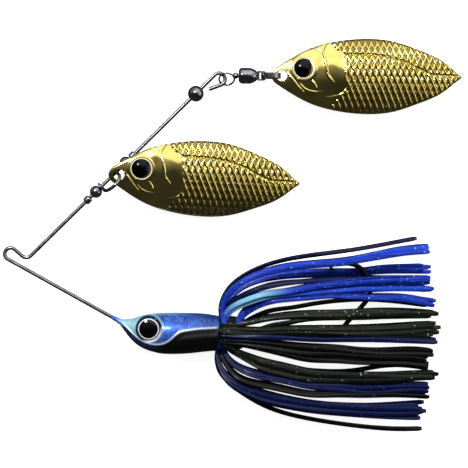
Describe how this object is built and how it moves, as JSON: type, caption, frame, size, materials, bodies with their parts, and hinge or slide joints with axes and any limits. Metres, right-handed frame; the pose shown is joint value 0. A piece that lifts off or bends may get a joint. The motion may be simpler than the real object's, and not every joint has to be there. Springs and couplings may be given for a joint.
{
  "type": "spinnerbait",
  "caption": "Fishing spinnerbait: bent wire with a weighted, skirted hook on one arm and swivelled, dished willow-leaf spinner blades on the other.",
  "frame": {"origin": "under the middle of the lure lying on its side, on the surface it rests on", "axes": "+X from the line tie to the tail of the skirt, +Y from the hook up to the blade arm, +Z out of the side that faces up"},
  "size_m": [0.1156, 0.0968, 0.0135],
  "materials": {
    "spring_wire": "polished stainless spring wire",
    "hook_steel": "black nickel plate on forged steel",
    "head_paint": "metallic blue over black under clear gloss",
    "black_nickel": "bright black nickel plate",
    "bearing_steel": "ground",
    "gold_plate": "gold plate, stamped",
    "blade_eye": "glossy black dome",
    "eye_print": "silver foil print with a black pupil",
    "eye_lens": "clear epoxy dome",
    "band_rubber": "matte",
    "skirt_blue": "glossy silicone with fine flake",
    "skirt_black": "glossy silicone with fine flake",
    "skirt_olive": "translucent dark olive silicone with flake"
  },
  "bodies": {
    "lure": {"wire_frame": "spring_wire", "hook": "hook_steel", "head_casting": "head_paint", "head_eye_near": "eye_print", "head_lens_near": "eye_lens", "head_eye_far": "eye_print", "head_lens_far": "eye_lens", "lower_stop": "black_nickel", "upper_stop": "black_nickel", "skirt_band": "band_rubber", "skirt_collar": "skirt_blue", "skirt_blue_1": "skirt_blue", "skirt_blue_2": "skirt_blue", "skirt_olive_1": "skirt_olive", "skirt_black_1": "skirt_black", "skirt_black_2": "skirt_black", "skirt_black_3": "skirt_black", "skirt_black_4": "skirt_black", "skirt_black_5": "skirt_black", "skirt_olive_2": "skirt_olive", "skirt_blue_3": "skirt_blue", "skirt_blue_4": "skirt_blue", "skirt_blue_5": "skirt_blue"},
    "lower_bead": {"lower_bead": "black_nickel"},
    "clevis": {"clevis": "black_nickel"},
    "front_blade": {"front_blade": "gold_plate", "front_blade_eye": "blade_eye"},
    "upper_bead": {"upper_bead": "black_nickel"},
    "loop_bead": {"loop_bead": "black_nickel"},
    "swivel_ring": {"swivel_ring": "black_nickel"},
    "swivel_barrel": {"swivel_barrel": "black_nickel", "swivel_balls": "bearing_steel", "swivel_tail": "black_nickel"},
    "split_ring": {"split_ring": "black_nickel"},
    "rear_blade": {"rear_blade": "gold_plate", "rear_blade_eye": "blade_eye"}
  },
  "joints": [
    {"name": "lower_bead_slide", "type": "slide", "parent": "lure", "child": "lower_bead", "axis": [0.7133, 0.7009, 0], "range_m": [-0.0004, 0.0013]},
    {"name": "clevis_spin", "type": "hinge", "parent": "lower_bead", "child": "clevis", "pos_m": [-0.03315, 0.01143, 0.00481], "axis": [0.7133, 0.7009, 0], "continuous": true},
    {"name": "front_blade_swing", "type": "hinge", "parent": "clevis", "child": "front_blade", "pos_m": [-0.02856, 0.01431, 0.0072], "axis": [0.3073, -0.3127, 0.8988], "range_deg": [-25, 8]},
    {"name": "upper_bead_spin", "type": "hinge", "parent": "lure", "child": "upper_bead", "pos_m": [-0.02705, 0.01742, 0.00481], "axis": [0.7133, 0.7009, 0], "continuous": true},
    {"name": "loop_bead_slide", "type": "slide", "parent": "lure", "child": "loop_bead", "axis": [0.7133, 0.7009, 0], "range_m": [-0.01915, 0]},
    {"name": "swivel_swing", "type": "hinge", "parent": "lure", "child": "swivel_ring", "pos_m": [-0.00218, 0.03829, 0.00481], "axis": [0, 1, 0], "range_deg": [-20, 20]},
    {"name": "swivel_spin", "type": "hinge", "parent": "swivel_ring", "child": "swivel_barrel", "pos_m": [0.00117, 0.03914, 0.00481], "axis": [1, 0, 0], "continuous": true},
    {"name": "split_ring_swing", "type": "hinge", "parent": "swivel_barrel", "child": "split_ring", "pos_m": [0.00787, 0.03914, 0.00481], "axis": [0, 1, 0], "range_deg": [-30, 30]},
    {"name": "rear_blade_swing", "type": "hinge", "parent": "split_ring", "child": "rear_blade", "pos_m": [0.01147, 0.03914, 0.00481], "axis": [0, 0, 1], "range_deg": [-20, 60]}
  ]
}
